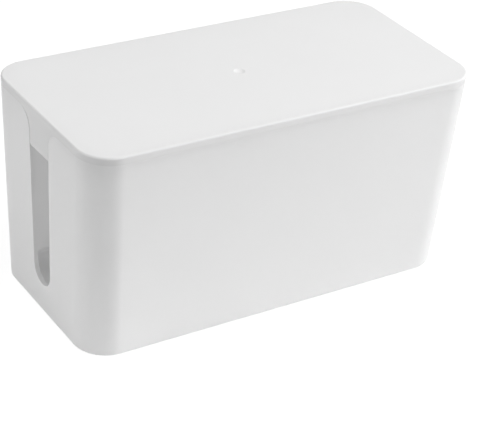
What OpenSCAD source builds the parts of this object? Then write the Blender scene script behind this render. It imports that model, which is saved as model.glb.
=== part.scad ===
// Cable management box: a tray with leaning walls and a cable slot in each end, and a
// lift-off lid whose two tongues hang in the mouths of the slots and close them.
// Millimetres, +Z up, X along the length. The origin is on the table, under the middle.

/* [Box] */
// Length over the lid, where the lean of its sides meets its top
box_length = 235; // [180:1:320]
// Width over the lid, in the same way
box_width = 115; // [90:1:180]
// Height from the table to the top of the lid
box_height = 120; // [90:1:180]
// Lean of the walls, outwards going up, in degrees
draft = 2.15; // [0.5:0.05:4]
// Radius of the upright corners, outside
corner_r = 18; // [10:0.5:28]
// Thickness of the walls and of the tongues
wall = 2.5; // [1.6:0.1:3.5]
// Thickness of the floor
floor_t = 2.5; // [2:0.1:4]
// Rounding of the edge under the walls
base_edge_r = 1.5; // [1:0.1:3]
// Rounding inside, where the floor meets the walls
floor_cove_r = 2; // [1.5:0.1:6]

/* [Lid] */
// Height of the lid's rim, from the seam to the top
rim_height = 4.4; // [4:0.1:8]
// Thickness of the lid's plate
plate_t = 2.2; // [1.4:0.1:3]
// Rounding of the lid's top edge
top_edge_r = 1.2; // [0.4:0.1:2]
// Depth of the locating lip below the seam
lip_depth = 4; // [2:0.5:8]
// Thickness of the locating lip
lip_t = 1.6; // [1:0.1:2.5]
// Clearance between the lip and the walls
lip_gap = 0.4; // [0.3:0.05:1]
// Width of the moulding gate's dimple in the middle of the lid
gate_d = 4.4; // [2:0.1:6]
// Depth of the dimple
gate_depth = 0.5; // [0.2:0.05:0.6]

/* [End slots] */
// Width of a slot at the seam, before its flare
slot_mouth_w = 22.6; // [16:0.1:30]
// Width of a slot's round end
slot_foot_w = 19.6; // [12:0.1:24]
// Height of a slot's lowest point above the table
slot_sill = 18; // [12:0.5:30]
// Radius of the flare at the mouth
flare_r = 10; // [4:0.5:14]

/* [Tongues] */
// Depth of a tongue's lower edge below the top of the lid
tongue_drop = 22.5; // [18:0.5:40]
// Clearance between a tongue and each side of its slot
tongue_gap = 0.4; // [0.3:0.05:1]
// Rounding of a tongue's lower corners
tongue_corner_r = 1.2; // [0.5:0.1:3]
// Thickness of the two gussets behind each tongue
gusset_t = 1.6; // [1:0.1:2.5]
// Reach of a gusset inwards along the plate
gusset_reach = 6; // [3:0.5:9]
// Height of a gusset's foot above the tongue's lower edge
gusset_rise = 3; // [1:0.5:8]
// Distance between the middles of the two gussets
gusset_pitch = 11; // [6:0.5:14]

/* [Feet] */
// Diameter of a rubber foot
foot_d = 12; // [8:0.5:18]
// Height by which the feet stand out of the underside
foot_proud = 0.6; // [0.4:0.1:2]
// Depth of the pocket that a foot is stuck in
pocket_depth = 0.8; // [0.4:0.1:1.2]
// Clearance round a foot in its pocket
pocket_gap = 0.25; // [0.1:0.05:0.5]
// Chamfer of a foot's lower edge
foot_chamfer = 0.4; // [0.2:0.05:0.4]
// Distance from a foot's middle to the sides of the underside
foot_inset = 17; // [14:0.5:30]

/* [Hidden] */
$fn = 96;

plastic = "white";
rubber = [0.25, 0.25, 0.25];

lean = tan(draft);
seam_z = box_height - rim_height;
base_z = foot_proud;
floor_z = base_z + floor_t;
plate_z = box_height - plate_t;
tongue_z = box_height - tongue_drop;

// What a cutting shape runs past the surface that it cuts
spare = 4;
// How far a round corner or edge stands out past the flats that it joins, so that it
// crosses them and doesn't only touch them
bite = 0.01;

// Half of the outside length and width at height z
function half_length(z) = box_length / 2 - lean * (box_height - z);
function half_width(z) = box_width / 2 - lean * (box_height - z);
// A length on a round hundredth, so that parts built on it meet
function even(length) = round(length * 100) / 100;
// The corners' centres at height z
function centre_x(z) = even(half_length(z) - corner_r);
function centre_y(z) = even(half_width(z) - corner_r);

// Thickness and corner radius as a level cut shows them
wall_level = wall / cos(draft);
inner_r = corner_r - wall_level;

module both_ends() {
    for (turn = [0, 180]) rotate(turn) children();
}

module four_ways() {
    for (flip_x = [0, 1], flip_y = [0, 1])
        mirror([flip_x, 0, 0]) mirror([0, flip_y, 0]) children();
}

// Turns a section that is drawn in x and y up on its end, facing along X or along Y
module face_x() {
    rotate([90, 0, 90]) children();
}

module face_y() {
    rotate([90, 0, 0]) children();
}

// Sweeps a section round a rectangle with round corners. The section's x is the distance
// out from the corners' centres at cx and cy, and its y is the height.
module round_sweep(cx, cy) {
    four_ways() translate([cx, cy, 0]) rotate_extrude(angle = 90) children();
    both_ends() {
        translate([cx, 0, 0]) face_y() linear_extrude(2 * cy, center = true) children();
        translate([0, cy, 0]) face_x() linear_extrude(2 * cx, center = true) children();
    }
}

// A quarter disc that rounds the corner of a section, bulging towards +x and, for
// up = 1, towards +y
module quarter(r, up) {
    intersection() {
        circle(r);
        translate([0, up > 0 ? 0 : -r]) square(r);
    }
}

// A block with the walls' lean, level at low and high, with its faces inset from the
// outside. Its corners are rounded by bars that lean along the corner's edge, which is
// what a constant fillet makes of a drafted block.
module leaning_block(inset, low, high) {
    level_inset = inset / cos(draft);
    corner_lean = atan(lean * sqrt(2));
    bar_r = corner_r * cos(draft) - inset + bite;
    start = low - spare;
    module trapezium(half_low, half_high) {
        polygon([
            [-half_low + level_inset, low], [half_low - level_inset, low],
            [half_high - level_inset, high], [-half_high + level_inset, high]
        ]);
    }
    difference() {
        intersection() {
            face_y() linear_extrude(box_width, center = true)
                trapezium(half_length(low), half_length(high));
            face_x() linear_extrude(box_length, center = true)
                trapezium(half_width(low), half_width(high));
        }
        four_ways()
            translate([half_length(start) - corner_r, half_width(start) - corner_r, start])
                rotate([0, corner_lean, 45]) rotate(-45)
                    linear_extrude(high - low + 2 * spare) difference() {
                        square(2 * corner_r);
                        circle(bar_r);
                    }
    }
}

// A leaning block whose lower edge is rounded
module rounded_block(inset, low, high, edge_r) {
    cx = centre_x(low);
    cy = centre_y(low);
    // The arc also reaches past the corner bars, which lean more than the walls
    arc_x = corner_r - inset / cos(draft) - edge_r * (1 - lean * sqrt(2)) + 4 * bite;
    far_x = corner_r + 2 * lean * (high - low);
    intersection() {
        leaning_block(inset, low, high);
        union() {
            translate([-cx, -cy, low]) cube([2 * cx, 2 * cy, high - low]);
            round_sweep(cx, cy) {
                translate([0, low]) square([arc_x, edge_r]);
                translate([arc_x, low + edge_r]) quarter(edge_r, -1);
                translate([0, low + edge_r]) square([far_x, high - low - edge_r]);
            }
        }
    }
}

// Angle by which a slot's sides splay towards the mouth, the height of its round end's
// centre, and half of its width at height z. gap narrows it on each side, for a tongue.
foot_z = slot_sill + slot_foot_w / 2;
splay = asin((slot_mouth_w - slot_foot_w) / 2 / (seam_z - foot_z));
function slot_half(z, gap) = (slot_foot_w / 2) / cos(splay) + (z - foot_z) * tan(splay) - gap;

// Height of the flare's centres, their distance from the middle, and the height where the
// sides run into the flare
flare_z = seam_z - flare_r + bite;
touch_z = flare_z + flare_r * sin(splay);
function flare_y(gap) = slot_half(flare_z, gap) + flare_r / cos(splay);

// The flare of a slot's mouth: what an arc on each side leaves, up to high
module flare(gap, high) {
    difference() {
        translate([-flare_y(gap), touch_z]) square([2 * flare_y(gap), high - touch_z]);
        for (side = [-1, 1]) translate([side * flare_y(gap), flare_z]) circle(flare_r);
    }
}

// A slot seen from the end: a round foot, sides that splay, and a flared mouth
module slot_outline() {
    foot_r = slot_foot_w / 2;
    low = foot_z - foot_r * sin(splay);
    high = seam_z + spare;
    translate([0, foot_z]) circle(foot_r);
    polygon([
        [-slot_half(low, 0), low], [slot_half(low, 0), low],
        [slot_half(high, 0), high], [-slot_half(high, 0), high]
    ]);
    flare(0, high);
}

// A tongue seen from the end: the slot's outline less the gap, down to a rounded edge
module tongue_outline() {
    corner_z = tongue_z + tongue_corner_r;
    corner_y = even(slot_half(corner_z, tongue_gap));
    square_y = corner_y - tongue_corner_r;
    for (flip = [0, 1]) mirror([flip, 0]) {
        polygon([
            [0, tongue_z], [square_y, tongue_z], [square_y, corner_z], [corner_y, corner_z],
            [slot_half(touch_z, tongue_gap), touch_z], [slot_half(seam_z, tongue_gap), seam_z],
            [0, seam_z]
        ]);
        translate([square_y, corner_z]) quarter(tongue_corner_r, -1);
    }
    flare(tongue_gap, seam_z);
}

module foot_place(x_side, y_side) {
    translate([
        x_side * (half_length(base_z) - foot_inset), y_side * (half_width(base_z) - foot_inset), 0
    ]) children();
}

module box_body() {
    color(plastic) difference() {
        rounded_block(0, base_z, seam_z, base_edge_r);
        rounded_block(wall, floor_z, seam_z + spare, floor_cove_r);
        // One bar cuts both slots
        face_x() linear_extrude(box_length + spare, center = true) slot_outline();
        for (x_side = [-1, 1], y_side = [-1, 1]) foot_place(x_side, y_side)
            cylinder(d = foot_d + 2 * pocket_gap, h = base_z + pocket_depth);
    }
}

// Section of the lid's rim, with the lip that drops inside the walls
module rim_section() {
    edge_z = box_height - top_edge_r;
    edge_x = corner_r + lean * (edge_z - seam_z);
    lip_out = inner_r - lip_gap;
    lip_in = lip_out - lip_t;
    polygon([
        [0, plate_z], [lip_in, plate_z], [lip_in, seam_z - lip_depth],
        [lip_out - lean * lip_depth, seam_z - lip_depth], [lip_out, seam_z],
        [corner_r, seam_z], [edge_x, edge_z], [edge_x - top_edge_r, edge_z],
        [edge_x - top_edge_r, box_height], [0, box_height]
    ]);
    translate([edge_x - top_edge_r, edge_z]) quarter(top_edge_r, 1);
}

// A tongue, flush with the end wall, hanging from the rim at the +X end
module tongue() {
    drop = seam_z - tongue_z;
    foot_x = lean * drop;
    translate([centre_x(seam_z), 0, 0]) {
        intersection() {
            face_x() linear_extrude(box_length) tongue_outline();
            face_y() linear_extrude(box_width, center = true) polygon([
                [corner_r - foot_x, tongue_z], [corner_r, seam_z],
                [inner_r, seam_z], [inner_r - foot_x, tongue_z]
            ]);
        }
        // The gussets end inside the tongue and the plate
        for (side = [-1, 1]) translate([0, side * gusset_pitch / 2, 0])
            face_y() linear_extrude(gusset_t, center = true) {
                low = tongue_z + gusset_rise;
                buried_x = corner_r - wall / 2;
                buried_z = plate_z + plate_t / 2;
                polygon([
                    [buried_x - lean * (seam_z - low), low], [buried_x, buried_z],
                    [inner_r - gusset_reach, buried_z], [inner_r - gusset_reach, plate_z]
                ]);
            }
    }
}

module lid() {
    cx = centre_x(seam_z);
    cy = centre_y(seam_z);
    notch_y = flare_y(0) + lip_gap;
    gate_r = (gate_d * gate_d / 4 + gate_depth * gate_depth) / (2 * gate_depth);
    color(plastic) {
        difference() {
            union() {
                translate([-cx, -cy, plate_z]) cube([2 * cx, 2 * cy, plate_t]);
                round_sweep(cx, cy) rim_section();
            }
            // The lip stops on each side of a tongue
            both_ends() translate([cx, -notch_y, seam_z - 2 * lip_depth])
                cube([corner_r, 2 * notch_y, 2 * lip_depth]);
            // The dimple is the cap of a ball
            translate([0, 0, box_height + gate_r - gate_depth]) sphere(gate_r);
        }
        both_ends() tongue();
    }
}

module foot() {
    foot_r = foot_d / 2;
    color(rubber) rotate_extrude() polygon([
        [0, 0], [foot_r - foot_chamfer, 0], [foot_r, foot_chamfer],
        [foot_r, base_z + pocket_depth], [0, base_z + pocket_depth]
    ]);
}

box_body();
lid();
foot_place(-1, -1) foot();  // foot_front_left
foot_place(1, -1) foot();  // foot_front_right
foot_place(-1, 1) foot();  // foot_rear_left
foot_place(1, 1) foot();  // foot_rear_right
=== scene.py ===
"""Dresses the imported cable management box: its tray, its lift-off lid and its four rubber feet.

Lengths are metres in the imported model's frame: the origin is on the table under the middle of
the box, X runs along the length, Y runs back across the width, and +Z is up.
"""
import logging
import math
from collections.abc import Callable, Sequence
from dataclasses import dataclass
from enum import Enum

import bmesh
import bpy
from mathutils import Matrix, Vector


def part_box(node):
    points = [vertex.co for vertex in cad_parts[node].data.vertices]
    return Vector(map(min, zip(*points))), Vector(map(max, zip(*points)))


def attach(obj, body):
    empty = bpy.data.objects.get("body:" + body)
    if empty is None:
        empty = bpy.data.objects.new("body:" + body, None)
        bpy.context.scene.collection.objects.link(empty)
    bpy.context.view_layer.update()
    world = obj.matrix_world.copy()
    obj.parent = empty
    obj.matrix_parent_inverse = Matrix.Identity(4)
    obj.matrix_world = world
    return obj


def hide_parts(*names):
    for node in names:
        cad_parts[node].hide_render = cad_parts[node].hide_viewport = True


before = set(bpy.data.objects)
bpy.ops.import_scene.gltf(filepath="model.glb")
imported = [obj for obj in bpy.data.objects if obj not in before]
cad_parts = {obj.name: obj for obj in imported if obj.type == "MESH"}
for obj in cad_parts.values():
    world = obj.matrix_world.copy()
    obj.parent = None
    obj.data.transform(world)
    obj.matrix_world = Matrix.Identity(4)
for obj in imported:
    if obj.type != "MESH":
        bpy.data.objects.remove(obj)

log = logging.getLogger("cable_box")

MM = 0.001
# Points nearer to each other than this are one
TOUCHING = MM / 1000
# Stretches in a quarter turn of a wide corner, in the rounding of an edge, and across a bevel
CORNER_STEPS = 24
EDGE_STEPS = 6
BEVEL_STEPS = 3
# Edges that turn more than the first angle are rounded, and those under the second dissolved
SHARP_ANGLE = math.radians(25)
FLAT_ANGLE = math.radians(0.2)
# The range that most values of a noise texture lie in
NOISE_LOW, NOISE_HIGH = 0.3, 0.7
WHITE = (1.0, 1.0, 1.0, 1.0)

Point = tuple[float, float, float]
Colour = tuple[float, float, float]
FlatPoint = tuple[float, float]
# The height of a ring round the form, and how far it lies inside the outer face
Level = tuple[float, float]
Socket = bpy.types.NodeSocket


class Body(Enum):
    """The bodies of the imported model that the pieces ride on."""

    BOX = "box"
    LID = "lid"


class Slot(Enum):
    """The material slots of the record."""

    TRAY = "body_plastic"
    LID = "lid_plastic"
    FOOT = "foot_rubber"


class Corner(Enum):
    """The four feet by the corner that they stand at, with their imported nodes."""

    FRONT_LEFT = "foot_front_left"
    FRONT_RIGHT = "foot_front_right"
    REAR_LEFT = "foot_rear_left"
    REAR_RIGHT = "foot_rear_right"


class End(Enum):
    """The two ends of the box, by the side of the middle that they lie on along X."""

    LEFT = -1
    RIGHT = 1


class Row(Enum):
    """The two gussets of a tongue, by the side of the middle that they lie on along Y."""

    FRONT = -1
    REAR = 1


class Build(Enum):
    """How a tool solid changes a workpiece."""

    JOIN = "UNION"
    CUT = "DIFFERENCE"


def arc(centre: FlatPoint, radius: float, start: float, end: float, steps: int) -> list[FlatPoint]:
    """Points along an arc, with both of its ends.

    Args:
        centre: The arc's centre.
        radius: Its radius.
        start: The angle of its first point, in degrees.
        end: The angle of its last point, in degrees.
        steps: The number of stretches between its points.

    Returns:
        The points in order.
    """
    angles = [math.radians(start + (end - start) * step / steps) for step in range(steps + 1)]
    return [(centre[0] + radius * math.cos(a), centre[1] + radius * math.sin(a)) for a in angles]


def mirrored(right: Sequence[FlatPoint]) -> list[FlatPoint]:
    """Closes the right half of an outline with its mirror image, counter-clockwise.

    Args:
        right: The right half from its lowest point to its highest.

    Returns:
        The whole outline, with points on the middle line kept once.
    """
    left = [(-x, z) for x, z in reversed(right) if x > TOUCHING]
    return list(right) + left


def solid(name: str, rings: Sequence[Sequence[Point]]) -> bpy.types.Object:
    """Skins rings of equally many points and caps both ends.

    Args:
        name: The name of the new object.
        rings: Closed rings of points, one after the other.

    Returns:
        A closed solid whose faces point outwards.
    """
    shape = bmesh.new()
    loops = [[shape.verts.new(point) for point in ring] for ring in rings]
    for lower, upper in zip(loops, loops[1:]):
        for i in range(len(lower)):
            shape.faces.new((lower[i - 1], lower[i], upper[i], upper[i - 1]))
    shape.faces.new(reversed(loops[0]))
    shape.faces.new(loops[-1])
    bmesh.ops.recalc_face_normals(shape, faces=shape.faces[:])
    mesh = bpy.data.meshes.new(name)
    shape.to_mesh(mesh)
    shape.free()
    made = bpy.data.objects.new(name, mesh)
    bpy.context.scene.collection.objects.link(made)
    return made


def turned(name: str, profile: Sequence[FlatPoint], centre: Point, steps: int) -> bpy.types.Object:
    """Turns a profile about an upright axis.

    Args:
        name: The name of the new object.
        profile: Points as distance from the axis and height, from one cap to the other.
        centre: The point that the profile's origin goes to.
        steps: The number of facets round the axis.

    Returns:
        The turned solid.
    """
    turns = [2 * math.pi * step / steps for step in range(steps)]
    x, y, z = centre
    return solid(name, [
        [(x + radius * math.cos(t), y + radius * math.sin(t), z + height) for t in turns]
        for radius, height in profile
    ])


def applied(piece: bpy.types.Object) -> None:
    """Bakes a piece's modifiers into its mesh.

    Args:
        piece: The piece with its modifiers.
    """
    graph = bpy.context.evaluated_depsgraph_get()
    mesh = bpy.data.meshes.new_from_object(piece.evaluated_get(graph), depsgraph=graph)
    piece.modifiers.clear()
    old, piece.data = piece.data, mesh
    bpy.data.meshes.remove(old)


def change(piece: bpy.types.Object, build: Build, tools: Sequence[bpy.types.Object]) -> None:
    """Joins tool solids to a workpiece or cuts them out of it, and removes them.

    Args:
        piece: The workpiece.
        build: What is done with the tools.
        tools: The solids to join or cut.
    """
    for tool in tools:
        boolean = piece.modifiers.new("change", "BOOLEAN")
        boolean.operation = build.value
        boolean.solver = "EXACT"
        boolean.object = tool
        applied(piece)
        bpy.data.objects.remove(tool)


def finish_edges(
    piece: bpy.types.Object, radius_at: Callable[[Vector], float], widest: float
) -> None:
    """Cleans a workpiece, rounds its sharp edges and smooths its shading.

    Args:
        piece: The workpiece.
        radius_at: Gives the rounding of the edge whose middle is at a point.
        widest: The widest rounding that radius_at gives.
    """
    shape = bmesh.new()
    shape.from_mesh(piece.data)
    bmesh.ops.remove_doubles(shape, verts=shape.verts[:], dist=TOUCHING)
    bmesh.ops.dissolve_limit(
        shape, angle_limit=FLAT_ANGLE, verts=shape.verts[:], edges=shape.edges[:]
    )
    weight = shape.edges.layers.float.new("bevel_weight_edge")
    for edge in shape.edges:
        if len(edge.link_faces) == 2 and edge.calc_face_angle() > SHARP_ANGLE:
            middle = (edge.verts[0].co + edge.verts[1].co) / 2
            edge[weight] = radius_at(middle) / widest
    for face in shape.faces:
        face.smooth = True
    shape.to_mesh(piece.data)
    shape.free()
    bevel = piece.modifiers.new("edges", "BEVEL")
    bevel.limit_method = "WEIGHT"
    bevel.offset_type = "OFFSET"
    bevel.width = widest
    bevel.segments = BEVEL_STEPS
    bevel.use_clamp_overlap = True
    normals = piece.modifiers.new("normals", "WEIGHTED_NORMAL")
    normals.mode = "FACE_AREA"
    applied(piece)


@dataclass(frozen=True)
class LeaningForm:
    """The outline that the tray and the lid share: a block whose walls lean out going up.

    Its corners keep one radius all the way up, as a drafted moulding's do.
    """

    half_length: float
    half_width: float
    seam_z: float
    top_z: float
    draft: float = math.radians(2.15)
    corner_radius: float = 18 * MM

    @property
    def lean(self) -> float:
        """How far a wall moves out for each unit of height."""
        return math.tan(self.draft)

    def level(self, thickness: float) -> float:
        """The width that a level cut shows of a wall of that thickness."""
        return thickness / math.cos(self.draft)

    def half_length_at(self, z: float) -> float:
        """Half of the outside length at height z."""
        return self.half_length - self.lean * (self.seam_z - z)

    def ring(self, z: float, inset: float = 0.0) -> list[Point]:
        """One level ring round the form.

        Args:
            z: The ring's height.
            inset: How far it lies inside the outer face, measured level.

        Returns:
            The ring's points, counter-clockwise seen from above.
        """
        radius = self.corner_radius - inset
        out_x = self.half_length_at(z) - self.corner_radius
        out_y = out_x - self.half_length + self.half_width
        centres = ((out_x, out_y), (-out_x, out_y), (-out_x, -out_y), (out_x, -out_y))
        return [
            (x, y, z)
            for turn, centre in enumerate(centres)
            for x, y in arc(centre, radius, 90 * turn, 90 * turn + 90, CORNER_STEPS)
        ]

    def lower_edge(self, z: float, inset: float, radius: float) -> list[Level]:
        """The rings of a rounding between a level face and the wall above it.

        Args:
            z: The height of the level face.
            inset: How far the wall lies inside the outer face, measured level.
            radius: The rounding's radius.

        Returns:
            Height and inset of each ring, from the level face to the wall.
        """
        back = inset + radius / math.cos(self.draft)
        sweep = math.pi / 2 - self.draft
        angles = [sweep * step / EDGE_STEPS for step in range(EDGE_STEPS + 1)]
        return [
            (
                z + radius * (1 - math.cos(a)),
                back - radius * (math.sin(a) + self.lean * math.cos(a)),
            )
            for a in angles
        ]

    def upper_edge(self, radius: float) -> list[Level]:
        """The rings of the rounding between the wall and the top.

        Args:
            radius: The rounding's radius.

        Returns:
            Height and inset of each ring, from the wall to the top.
        """
        back = radius / math.cos(self.draft)
        sweep = math.pi / 2 + self.draft
        angles = [sweep * step / EDGE_STEPS - self.draft for step in range(EDGE_STEPS + 1)]
        return [
            (
                self.top_z + radius * (math.sin(a) - 1),
                back + radius * (self.lean * math.sin(a) - math.cos(a)),
            )
            for a in angles
        ]


@dataclass(frozen=True)
class EndSlot:
    """The outline of a cord slot, which the tongue above it follows with a gap."""

    seam_z: float
    tongue_z: float
    mouth_width: float = 22.0 * MM
    foot_width: float = 18.4 * MM
    sill_z: float = 18 * MM
    flare_radius: float = 10 * MM
    overrun: float = 0.01 * MM

    @property
    def foot_z(self) -> float:
        """Height of the centre of the slot's round end."""
        return self.sill_z + self.foot_width / 2

    @property
    def splay(self) -> float:
        """Angle by which the sides splay towards the mouth."""
        return math.asin((self.mouth_width - self.foot_width) / 2 / (self.seam_z - self.foot_z))

    @property
    def flare_z(self) -> float:
        """Height of the flares' centres. The flares cross the seam and don't only touch it."""
        return self.seam_z - self.flare_radius + self.overrun

    def half(self, z: float, gap: float = 0.0) -> float:
        """Half of the slot's width at height z, less a gap."""
        at_foot = self.foot_width / 2 / math.cos(self.splay)
        return at_foot + (z - self.foot_z) * math.tan(self.splay) - gap

    def flare(self, gap: float = 0.0) -> list[FlatPoint]:
        """The flare on the +Y side, from the slot's side up to the seam.

        Args:
            gap: How far the outline is drawn in.

        Returns:
            Points as distance from the middle and height.
        """
        centre_y = self.half(self.flare_z, gap) + self.flare_radius / math.cos(self.splay)
        start = 180 - math.degrees(self.splay)
        return arc((centre_y, self.flare_z), self.flare_radius, start, 90, CORNER_STEPS)

    def cut_outline(self, above: float) -> list[FlatPoint]:
        """The whole slot, closed above the seam.

        Args:
            above: How far the outline runs past the seam.

        Returns:
            The outline, counter-clockwise, as distance from the middle and height.
        """
        end = -math.degrees(self.splay)
        foot = arc((0, self.foot_z), self.foot_width / 2, -90, end, CORNER_STEPS)
        flare = self.flare()
        return mirrored(foot + flare + [(flare[-1][0], self.seam_z + above)])

    def tongue_outline(self, gap: float, corner: float) -> list[FlatPoint]:
        """The tongue that closes the slot's mouth.

        Args:
            gap: The gap on each side.
            corner: The rounding of its lower corners.

        Returns:
            The outline, counter-clockwise, as distance from the middle and height.
        """
        centre_z = self.tongue_z + corner
        centre = (self.half(centre_z, gap) - corner, centre_z)
        flare = [point for point in self.flare(gap) if point[1] < self.seam_z]
        end = flare[-1][0] + (self.seam_z - flare[-1][1])
        return mirrored(arc(centre, corner, -90, 0, EDGE_STEPS) + flare + [(end, self.seam_z)])


@dataclass(frozen=True)
class Noise:
    """A noise texture: the size of its features, its finer layers and how strong they are."""

    size: float
    layers: float
    strength: float


@dataclass
class NodeGraph:
    """A material's node tree, with short ways to add and join nodes."""

    tree: bpy.types.NodeTree

    def add(self, kind: str, **values: object) -> bpy.types.Node:
        """Adds a node.

        Args:
            kind: The node's type name.
            **values: Properties of the node, or values of its inputs with _ for each space.

        Returns:
            The new node.
        """
        node = self.tree.nodes.new(kind)
        for key, value in values.items():
            socket = node.inputs.get(key.replace("_", " "))
            if hasattr(node, key):
                setattr(node, key, value)
            elif socket is not None:
                socket.default_value = value
            else:
                raise KeyError(f"{kind} has no property or input named {key}")
        return node

    def join(self, start: Socket, end: Socket) -> None:
        """Links an output to an input."""
        self.tree.links.new(start, end)

    def noise(self, place: Socket, noise: Noise) -> Socket:
        """Adds a noise texture.

        Args:
            place: The coordinates that it reads, in metres.
            noise: The kind of noise.

        Returns:
            The output that holds its values.
        """
        node = self.add(
            "ShaderNodeTexNoise",
            Scale=1 / noise.size, Detail=noise.layers, Roughness=noise.strength,
        )
        self.join(place, node.inputs["Vector"])
        return node.outputs["Fac"]

    def spread(self, value: Socket, low: float, high: float) -> Socket:
        """Maps the middle of a noise's range to low and high.

        Args:
            value: The noise.
            low: The result where the noise is low.
            high: The result where it is high.

        Returns:
            The output that holds the mapped value.
        """
        node = self.add(
            "ShaderNodeMapRange",
            From_Min=NOISE_LOW, From_Max=NOISE_HIGH, To_Min=low, To_Max=high,
        )
        self.join(value, node.inputs["Value"])
        return node.outputs["Result"]

    def tint(self, value: Socket, low: Colour, high: Colour) -> Socket:
        """Shades between two colours by a noise.

        Args:
            value: The noise.
            low: The colour where the noise is low.
            high: The colour where it is high.

        Returns:
            The output that holds the colour.
        """
        node = self.add("ShaderNodeMix", data_type="RGBA")
        self.join(self.spread(value, 0, 1), node.inputs["Factor"])
        node.inputs["A"].default_value = (*low, 1)
        node.inputs["B"].default_value = (*high, 1)
        return node.outputs["Result"]

    def relief(self, value: Socket, depth: float, below: Socket | None = None) -> Socket:
        """Turns a noise into relief.

        Args:
            value: The noise.
            depth: The depth of the relief.
            below: The relief that this one lies on, if it lies on one.

        Returns:
            The output that holds the normal.
        """
        node = self.add("ShaderNodeBump", Strength=1.0, Distance=depth)
        self.join(value, node.inputs["Height"])
        if below is not None:
            self.join(below, node.inputs["Normal"])
        return node.outputs["Normal"]

    def mix(self, share: Socket | float, first: Socket, second: Socket) -> Socket:
        """Mixes two shaders.

        Args:
            share: How much of the second one shows, or the output that holds it.
            first: The output of the first shader.
            second: The output of the second one.

        Returns:
            The output of the mixed shader.
        """
        node = self.add("ShaderNodeMixShader")
        if isinstance(share, Socket):
            self.join(share, node.inputs["Fac"])
        else:
            node.inputs["Fac"].default_value = share
        self.join(first, node.inputs[1])
        self.join(second, node.inputs[2])
        return node.outputs["Shader"]


def new_material(name: str) -> tuple[bpy.types.Material, NodeGraph, bpy.types.Node]:
    """Makes a material with an empty tree but for its output.

    Args:
        name: The material's name.

    Returns:
        The material, its graph and its output node.
    """
    made = bpy.data.materials.new(name)
    made.use_nodes = True
    made.node_tree.nodes.clear()
    graph = NodeGraph(made.node_tree)
    return made, graph, graph.add("ShaderNodeOutputMaterial")


@dataclass(frozen=True)
class MouldedPlastic:
    """White plastic from a fine spark-eroded mould: matte, with faint flow clouds.

    Its walls are thin enough to let some light through, which is what lights the inside.
    """

    name: str
    colour: Colour = (0.92, 0.92, 0.92)
    cloud_colour: Colour = (0.91, 0.91, 0.91)
    # The share of the light on a face that goes on into the wall
    translucency: float = 0.215
    # The roughness where the sheen's noise is low and where it is high
    roughness: tuple[float, float] = (0.40, 0.48)
    gloss: float = 0.5
    ior: float = 1.54
    cloud: Noise = Noise(60 * MM, 3, 0.5)
    sheen: Noise = Noise(3 * MM, 4, 0.6)
    swell: Noise = Noise(22 * MM, 1, 0.4)
    swell_depth: float = 0.03 * MM
    grain: Noise = Noise(0.45 * MM, 2, 0.5)
    grain_depth: float = 0.010 * MM

    def material(self) -> bpy.types.Material:
        """Builds the finish as a procedural material.

        Returns:
            The material.
        """
        made, graph, output = new_material(self.name)
        place = graph.add("ShaderNodeTexCoord").outputs["Object"]
        surface = graph.add(
            "ShaderNodeBsdfPrincipled", IOR=self.ior, Specular_IOR_Level=self.gloss
        )
        through = graph.add("ShaderNodeBsdfTranslucent")
        tint = graph.tint(graph.noise(place, self.cloud), self.colour, self.cloud_colour)
        graph.join(tint, surface.inputs["Base Color"])
        graph.join(tint, through.inputs["Color"])
        sheen = graph.spread(graph.noise(place, self.sheen), *self.roughness)
        graph.join(sheen, surface.inputs["Roughness"])
        swell = graph.relief(graph.noise(place, self.swell), self.swell_depth)
        grain = graph.relief(graph.noise(place, self.grain), self.grain_depth, swell)
        graph.join(grain, surface.inputs["Normal"])
        wall = graph.mix(self.translucency, surface.outputs["BSDF"], through.outputs["BSDF"])
        graph.join(wall, output.inputs["Surface"])
        return made


@dataclass(frozen=True)
class FootRubber:
    """Dark grey rubber with a dusty, pitted skin."""

    name: str
    colour: Colour = (0.05, 0.05, 0.052)
    dust_colour: Colour = (0.09, 0.09, 0.088)
    roughness: tuple[float, float] = (0.72, 0.9)
    ior: float = 1.5
    dust: Noise = Noise(1.5 * MM, 5, 0.6)
    pits: Noise = Noise(0.3 * MM, 2, 0.5)
    pit_depth: float = 0.02 * MM

    def material(self) -> bpy.types.Material:
        """Builds the finish as a procedural material.

        Returns:
            The material.
        """
        made, graph, output = new_material(self.name)
        place = graph.add("ShaderNodeTexCoord").outputs["Object"]
        surface = graph.add("ShaderNodeBsdfPrincipled", IOR=self.ior)
        dust = graph.noise(place, self.dust)
        graph.join(graph.tint(dust, self.colour, self.dust_colour), surface.inputs["Base Color"])
        graph.join(graph.spread(dust, *self.roughness), surface.inputs["Roughness"])
        pits = graph.relief(graph.noise(place, self.pits), self.pit_depth)
        graph.join(pits, surface.inputs["Normal"])
        graph.join(surface.outputs["BSDF"], output.inputs["Surface"])
        return made


def seat(
    piece: bpy.types.Object, finishes: Sequence[bpy.types.Material],
    body: Body, node: str,
) -> None:
    """Dresses a piece and lets it stand for its node.

    Args:
        piece: The finished piece, in place.
        finishes: Its materials. All of it starts out with the first.
        body: The body that it rides on.
        node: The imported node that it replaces.
    """
    piece.data.materials.clear()
    for finish in finishes:
        piece.data.materials.append(finish)
    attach(piece, body.value)
    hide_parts(node)


def slab(name: str, outline: Sequence[FlatPoint], low: float, high: float) -> bpy.types.Object:
    """Extrudes an outline of distances along Y and heights along X.

    Args:
        name: The name of the new object.
        outline: The outline as y and z.
        low: Where it begins along X.
        high: Where it ends.

    Returns:
        The slab.
    """
    return solid(name, [[(x, y, z) for y, z in outline] for x in (low, high)])


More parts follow.
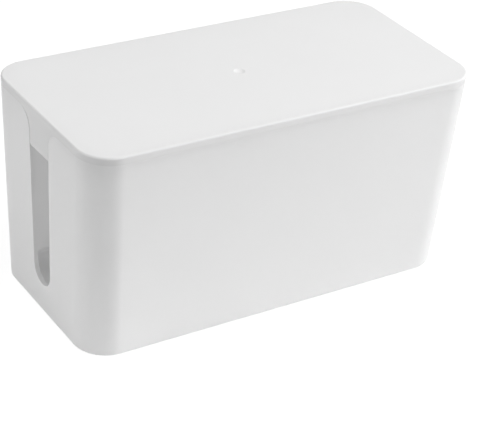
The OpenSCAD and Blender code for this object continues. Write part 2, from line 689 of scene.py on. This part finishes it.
@dataclass
class Tray:
    """The open box: leaning walls, round corners, and a flared cord slot in each end."""

    form: LeaningForm
    slot: EndSlot
    base_z: float
    wall: float = 2.5 * MM
    floor: float = 2.5 * MM
    base_edge: float = 1.5 * MM
    floor_cove: float = 2 * MM
    pocket_diameter: float = 12.5 * MM
    pocket_depth: float = 0.8 * MM
    fine_edge: float = 0.2 * MM
    slot_edge: float = 0.9 * MM
    # What the slot's cutter runs past the ends and the seam
    spare: float = 4 * MM
    # How deep in an end wall the inner skin begins, as a share of the wall
    skin_depth: float = 0.4
    outer_skin: MouldedPlastic = MouldedPlastic("white_tray_plastic")
    inner_skin: MouldedPlastic = MouldedPlastic("white_tray_inside", translucency=0.9)

    def shell(self) -> bpy.types.Object:
        """Lofts the shell from under the floor, over the rim and down to the floor's inside.

        Returns:
            The shell, with no slots or pockets yet.
        """
        inner = self.form.level(self.wall)
        outside = self.form.lower_edge(self.base_z, 0, self.base_edge)
        inside = self.form.lower_edge(self.base_z + self.floor, inner, self.floor_cove)
        rim = [(self.form.seam_z, 0.0), (self.form.seam_z, inner)]
        levels = outside + rim + inside[::-1]
        return solid("tray", [self.form.ring(z, inset) for z, inset in levels])

    def slot_cutter(self) -> bpy.types.Object:
        """One bar that cuts both slots."""
        reach = self.form.half_length + self.spare
        return slab("slot_cutter", self.slot.cut_outline(self.spare), -reach, reach)

    def pocket_cutter(self, node: str) -> bpy.types.Object:
        """A disc that cuts the pocket of a foot.

        Args:
            node: The foot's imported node.

        Returns:
            The cutter.
        """
        low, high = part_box(node)
        x, y, _ = (low + high) / 2
        radius = self.pocket_diameter / 2
        top = self.base_z + self.pocket_depth
        return turned("pocket_cutter", [(radius, 0), (radius, top)], (x, y, 0), 4 * CORNER_STEPS)

    def edge_radius(self, place: Vector) -> float:
        """The rounding of an edge: wide where cords rub over it, fine elsewhere.

        Args:
            place: The middle of the edge.

        Returns:
            The radius of its rounding.
        """
        outside = self.form.half_length_at(place.z) - abs(place.x) < self.wall / 2
        open_slot = self.floor < place.z < self.slot.tongue_z
        return self.slot_edge if outside and open_slot else self.fine_edge

    def is_inside(self, face: bpy.types.MeshPolygon) -> bool:
        """Whether a face is on the inside of a wall or in a slot, where the wall's light comes out.

        Args:
            face: The face.

        Returns:
            Whether it gets the inner skin.
        """
        place = face.center
        middle = Vector((0, 0, self.form.seam_z / 2))
        depth = self.form.half_length_at(place.z) - abs(place.x)
        deep = depth > self.skin_depth * self.wall
        above = place.z > self.base_z + self.floor + self.floor_cove
        return deep and above and face.normal.dot(place - middle) < 0

    def moulding(self) -> bpy.types.Object:
        """Builds the tray's mesh: the shell with its slots, its pockets and its rounded edges.

        Returns:
            The piece, undressed.
        """
        piece = self.shell()
        pockets = [self.pocket_cutter(corner.value) for corner in Corner]
        change(piece, Build.CUT, [self.slot_cutter(), *pockets])
        finish_edges(piece, self.edge_radius, self.slot_edge)
        return piece

    def dress(self, piece: bpy.types.Object) -> None:
        """Gives the tray its two skins.

        Args:
            piece: The moulding.
        """
        skins = [self.outer_skin.material(), self.inner_skin.material()]
        seat(piece, skins, Body.BOX, "box_body")
        for face in piece.data.polygons:
            face.material_index = int(self.is_inside(face))

    def build(self) -> bpy.types.Object:
        """Builds the tray and dresses it.

        Returns:
            The piece.
        """
        piece = self.moulding()
        self.dress(piece)
        return piece


@dataclass
class Lid:
    """The lift-off lid: a rimmed plate with a locating lip and a tongue for each slot."""

    form: LeaningForm
    slot: EndSlot
    wall: float = 2.5 * MM
    plate: float = 2.2 * MM
    top_edge: float = 1.2 * MM
    lip_depth: float = 4 * MM
    lip_thickness: float = 1.6 * MM
    gap: float = 0.4 * MM
    tongue_corner: float = 1.2 * MM
    gusset_thickness: float = 1.6 * MM
    gusset_reach: float = 6 * MM
    gusset_rise: float = 3 * MM
    gusset_pitch: float = 11 * MM
    gate_diameter: float = 6.4 * MM
    gate_depth: float = 0.9 * MM
    # The gate cutter's flat middle in degrees, and its arc as a share of the dimple's
    gate_flat: float = 0.5
    gate_overreach: float = 1.4
    # How far the tongues sit off the middle, along Y
    tongue_shift: float = -0.25 * MM
    seam_edge: float = 0.15 * MM
    tongue_edge: float = 0.35 * MM
    # The lid's white is set darker than the tray's same plastic. Part of that offsets the lid
    # letting less light through. The rest is painted shade that holds down its top, which the lamps
    # light most.
    finish: MouldedPlastic = MouldedPlastic(
        "white_lid_plastic_with_painted_shade", colour=(0.85, 0.85, 0.85), cloud_colour=(0.84, 0.84, 0.84),
        translucency=0.12, roughness=(0.56, 0.64), gloss=0.25,
    )

    @property
    def plate_z(self) -> float:
        """Height of the plate's underside."""
        return self.form.top_z - self.plate

    def cover(self) -> bpy.types.Object:
        """Lofts the plate, the locating lip and the rim, from the plate's underside to its top.

        Returns:
            The cover, with no notches, tongues or gate yet.
        """
        lip_out = self.form.level(self.wall) + self.gap
        lip_in = lip_out + self.lip_thickness
        seam_z, lean = self.form.seam_z, self.form.lean
        lip_z = seam_z - self.lip_depth
        levels = [
            (self.plate_z, lip_in + lean * (self.plate_z - seam_z)),
            (lip_z, lip_in - lean * self.lip_depth), (lip_z, lip_out),
            (seam_z, lip_out), (seam_z, 0.0), *self.form.upper_edge(self.top_edge),
        ]
        return solid("lid_cover", [self.form.ring(z, inset) for z, inset in levels])

    def notch(self, end: End) -> bpy.types.Object:
        """The cutter that stops the lip on each side of a tongue.

        Args:
            end: The end that the tongue hangs at.

        Returns:
            The cutter.
        """
        half = self.slot.flare()[-1][0] + self.gap
        seam_z = self.form.seam_z
        low_z = seam_z - 2 * self.lip_depth
        outline = [(-half, low_z), (half, low_z), (half, seam_z), (-half, seam_z)]
        near = self.form.half_length - self.form.corner_radius
        low, high = sorted((end.value * near, end.value * self.form.half_length))
        return slab("notch", outline, low, high)

    def tongue(self, end: End) -> bpy.types.Object:
        """The tongue at one end: a slab between two leaning planes.

        Args:
            end: The end.

        Returns:
            The tongue.
        """
        outline = self.slot.tongue_outline(self.gap, self.tongue_corner)
        return solid("tongue", [
            [
                (end.value * (self.form.half_length_at(z) - inset), y + self.tongue_shift, z)
                for y, z in outline
            ]
            for inset in (0.0, self.form.level(self.wall))
        ])

    def gusset(self, end: End, row: Row) -> bpy.types.Object:
        """One of the two gussets that hold a tongue square to the plate.

        Args:
            end: The end that the tongue hangs at.
            row: Which of its gussets.

        Returns:
            The gusset, whose ends are buried in the tongue and the plate.
        """
        low_z = self.slot.tongue_z + self.gusset_rise
        high_z = self.plate_z + self.plate / 2
        inner = self.form.half_length - self.form.level(self.wall)
        buried = self.form.level(self.wall) / 2
        outline = [
            (self.form.half_length_at(low_z) - buried, low_z),
            (self.form.half_length - buried, high_z),
            (inner - self.gusset_reach, high_z),
            (inner - self.gusset_reach, self.plate_z),
        ]
        middle = row.value * self.gusset_pitch / 2
        return solid("gusset", [
            [(end.value * x, middle + half, z) for x, z in outline]
            for half in (-self.gusset_thickness / 2, self.gusset_thickness / 2)
        ])

    def gate_cutter(self) -> bpy.types.Object:
        """The cap of a ball that sinks the gate's dimple into the middle of the lid.

        Returns:
            The cutter.
        """
        radius = (self.gate_diameter ** 2 / 4 + self.gate_depth ** 2) / (2 * self.gate_depth)
        half_angle = math.degrees(math.asin(self.gate_diameter / 2 / radius))
        start, end = -90 + self.gate_flat, -90 + self.gate_overreach * half_angle
        cap = arc((0, radius - self.gate_depth), radius, start, end, 2 * EDGE_STEPS)
        return turned("gate_cutter", cap, (0, 0, self.form.top_z), 2 * CORNER_STEPS)

    def edge_radius(self, place: Vector) -> float:
        """The rounding of the edge at a place: finer from the seam upwards."""
        fine = place.z > self.form.seam_z - self.slot.overrun
        return self.seam_edge if fine else self.tongue_edge

    def moulding(self) -> bpy.types.Object:
        """Builds the lid's mesh: the cover with its notches, its gate, its tongues and gussets.

        Returns:
            The piece, undressed.
        """
        piece = self.cover()
        change(piece, Build.CUT, [*map(self.notch, End), self.gate_cutter()])
        gussets = [self.gusset(end, row) for end in End for row in Row]
        change(piece, Build.JOIN, [*map(self.tongue, End), *gussets])
        finish_edges(piece, self.edge_radius, self.tongue_edge)
        return piece

    def build(self) -> bpy.types.Object:
        """Builds the lid and dresses it.

        Returns:
            The piece.
        """
        piece = self.moulding()
        seat(piece, [self.finish.material()], Body.LID, "lid")
        return piece


@dataclass
class RubberFoot:
    """A round rubber foot, stuck in its pocket."""

    corner: Corner
    edge: float = 0.4 * MM
    dish_depth: float = 0.15 * MM
    # The dish's radius as a share of the foot's
    dish_share: float = 0.6

    def moulding(self) -> bpy.types.Object:
        """Turns the foot, with a shallow dish in its lower face.

        Returns:
            The piece, undressed.
        """
        node = self.corner.value
        low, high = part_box(node)
        radius, height = (high.x - low.x) / 2, high.z - low.z
        dish = radius * self.dish_share
        rounding = arc((radius - self.edge, self.edge), self.edge, -90, 0, EDGE_STEPS)
        hollow = [(dish - 2 * self.dish_depth, self.dish_depth), (dish, 0.0)]
        profile = [*hollow, *rounding, (radius, height)]
        centre = ((low.x + high.x) / 2, (low.y + high.y) / 2, low.z)
        piece = turned(f"rubber_{node}", profile, centre, 3 * CORNER_STEPS)
        finish_edges(piece, lambda place: 0.0, self.edge)
        return piece

    def build(self, finish: bpy.types.Material) -> bpy.types.Object:
        """Builds the foot and dresses it.

        Args:
            finish: The rubber, which all four feet share.

        Returns:
            The piece.
        """
        piece = self.moulding()
        seat(piece, [finish], Body.BOX, self.corner.value)
        return piece


@dataclass(frozen=True)
class SoftLamp:
    """A large rectangular studio lamp that faces the box."""

    name: str
    # Degrees from +X towards +Y, and up from the horizon
    azimuth: float
    elevation: float
    width: float
    height: float
    strength: float
    distance: float = 1.6

    def build(self, aim: Vector) -> None:
        """Hangs the lamp.

        Args:
            aim: The point that the lamp faces.
        """
        turn, rise = math.radians(self.azimuth), math.radians(self.elevation)
        away = Vector((
            math.cos(turn) * math.cos(rise), math.sin(turn) * math.cos(rise), math.sin(rise),
        ))
        data = bpy.data.lights.new(self.name, "AREA")
        data.shape = "RECTANGLE"
        data.size, data.size_y = self.width, self.height
        data.energy = self.strength
        lamp = bpy.data.objects.new(self.name, data)
        lamp.location = aim + away * self.distance
        lamp.rotation_euler = away.to_track_quat("Z", "Y").to_euler()
        bpy.context.scene.collection.objects.link(lamp)
        log.info("lamp %s at azimuth %g, elevation %g", self.name, self.azimuth, self.elevation)


@dataclass(frozen=True)
class Studio:
    """The pale floor, the world round it and the soft lamps."""

    floor_size: float = 1.1
    # How much light the floor sends up to the box
    floor_bounce: float = 0.87
    # Where the floor is seen: what it shows in full shadow, and what the lamps add to that
    floor_glow: float = 0.9
    shadow_share: float = 0.2
    # The even light from all round
    ambient: float = 0.02
    lamps: tuple[SoftLamp, ...] = (
        SoftLamp("right_low_softbox", 335, 15, 1.0, 1.0, 3.0),
        SoftLamp("right_high_softbox", 325, 42, 1.5, 1.5, 24.5),
        SoftLamp("front_high_softbox", 290, 60, 1.0, 1.0, 8.8),
        SoftLamp("left_low_softbox", 168, 28, 0.4, 0.4, 9.6),
        SoftLamp("rear_left_softbox", 118, 28, 0.3, 0.3, 2.0),
        SoftLamp("rear_low_softbox", 75, 5, 1.2, 0.4, 2.0),
    )

    def seen(self, graph: NodeGraph) -> Socket:
        """1 where a ray comes from the camera or from a mirror or glass, and 0 elsewhere.

        Args:
            graph: The graph that gets the nodes.

        Returns:
            The socket that holds the factor.
        """
        path = graph.add("ShaderNodeLightPath")
        factor = path.outputs["Is Camera Ray"]
        for name in ("Is Glossy Ray", "Is Transmission Ray"):
            either = graph.add("ShaderNodeMath", operation="MAXIMUM")
            graph.join(factor, either.inputs[0])
            graph.join(path.outputs[name], either.inputs[1])
            factor = either.outputs["Value"]
        return factor

    def floor_material(self) -> bpy.types.Material:
        """White with the box's soft shadow where it is seen, and a pale bounce card elsewhere.

        Returns:
            The material.
        """
        made, graph, output = new_material("white_sweep")
        catch = graph.add("ShaderNodeBsdfDiffuse", Color=(self.shadow_share,) * 3 + (1,))
        glow = graph.add("ShaderNodeEmission", Strength=self.floor_glow)
        shown = graph.add("ShaderNodeAddShader")
        graph.join(catch.outputs["BSDF"], shown.inputs[0])
        graph.join(glow.outputs["Emission"], shown.inputs[1])
        bounce = graph.add("ShaderNodeBsdfDiffuse", Color=(self.floor_bounce,) * 3 + (1,))
        floor = graph.mix(self.seen(graph), bounce.outputs["BSDF"], shown.outputs["Shader"])
        graph.join(floor, output.inputs["Surface"])
        return made

    def build_floor(self) -> None:
        """Lays the floor under the feet."""
        half = self.floor_size / 2
        mesh = bpy.data.meshes.new("sweep_floor")
        corners = [(-half, -half, 0), (half, -half, 0), (half, half, 0), (-half, half, 0)]
        mesh.from_pydata(corners, [], [(0, 1, 2, 3)])
        mesh.materials.append(self.floor_material())
        floor = bpy.data.objects.new("sweep_floor", mesh)
        bpy.context.scene.collection.objects.link(floor)

    def build_world(self) -> None:
        """Sets the even light from all round, and white where the world itself is seen."""
        world = bpy.data.worlds.new("studio_world")
        world.use_nodes = True
        world.node_tree.nodes.clear()
        graph = NodeGraph(world.node_tree)
        even = graph.add("ShaderNodeBackground", Color=WHITE, Strength=self.ambient)
        white = graph.add("ShaderNodeBackground", Color=WHITE, Strength=1.0)
        light = graph.mix(
            self.seen(graph), even.outputs["Background"], white.outputs["Background"]
        )
        output = graph.add("ShaderNodeOutputWorld")
        graph.join(light, output.inputs["Surface"])
        bpy.context.scene.world = world

    def build(self, aim: Vector) -> None:
        """Builds the whole studio.

        Args:
            aim: The point that the lamps face.
        """
        self.build_floor()
        self.build_world()
        for lamp in self.lamps:
            lamp.build(aim)
        bpy.context.scene.view_settings.view_transform = "Standard"
        log.info("studio with %d lamps", len(self.lamps))


@dataclass(frozen=True)
class Viewpoint:
    """The camera's place: a turn and a tilt about a point on the box's middle line."""

    azimuth: float = math.radians(-34.35)
    elevation: float = math.radians(30.58)
    roll: float = math.radians(4.77)
    distance: float = 931.5 * MM
    aim_z: float = 60 * MM
    shift_right: float = 5.76 * MM
    shift_up: float = -25.54 * MM
    # The lens and the sensor's width, in millimetres
    lens: float = 126.93
    sensor: float = 36.0
    nearest: float = 0.01
    farthest: float = 50.0

    def build(self) -> None:
        """Makes the camera and gives it to the scene."""
        turn, tilt = self.azimuth, self.elevation
        back = Vector((
            math.sin(turn) * math.cos(tilt), -math.cos(turn) * math.cos(tilt), math.sin(tilt),
        ))
        level = Vector((math.cos(turn), math.sin(turn), 0))
        upright = back.cross(level)
        right = level * math.cos(self.roll) + upright * math.sin(self.roll)
        up = upright * math.cos(self.roll) - level * math.sin(self.roll)
        data = bpy.data.cameras.new("camera")
        data.lens, data.sensor_width = self.lens, self.sensor
        data.clip_start, data.clip_end = self.nearest, self.farthest
        camera = bpy.data.objects.new("camera", data)
        aim = Vector((0, 0, self.aim_z)) + right * self.shift_right + up * self.shift_up
        place = aim + back * self.distance
        facing = Matrix((right, up, back)).transposed().to_4x4()
        camera.matrix_world = Matrix.Translation(place) @ facing
        bpy.context.scene.collection.objects.link(camera)
        bpy.context.scene.camera = camera
        log.info("camera at %.3f, %.3f, %.3f", *place)


def report(piece: bpy.types.Object) -> None:
    """Logs a finished piece."""
    log.info("%s: %d faces", piece.name, len(piece.data.polygons))


def main() -> None:
    """Builds the pieces in order, then the studio round them."""
    logging.basicConfig(level=logging.INFO, format="%(name)s: %(message)s")
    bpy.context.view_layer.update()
    Viewpoint().build()
    tray_low, tray_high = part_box("box_body")
    lid_low, lid_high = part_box("lid")
    tray_form = LeaningForm(tray_high.x, tray_high.y, tray_high.z, lid_high.z)
    slot = EndSlot(tray_high.z, lid_low.z)
    report(Tray(tray_form, slot, tray_low.z).build())
    # The lid is widest where its sides meet the rounding of the top edge
    rim = tray_form.lean * (lid_high.z - Lid.top_edge - tray_high.z)
    lid_form = LeaningForm(lid_high.x - rim, lid_high.y - rim, tray_high.z, lid_high.z)
    report(Lid(lid_form, slot).build())
    rubber = FootRubber("foot_rubber").material()
    for corner in Corner:
        report(RubberFoot(corner).build(rubber))
    Studio().build(Vector((0, 0, tray_high.z / 2)))


if __name__ == "__main__":
    main()
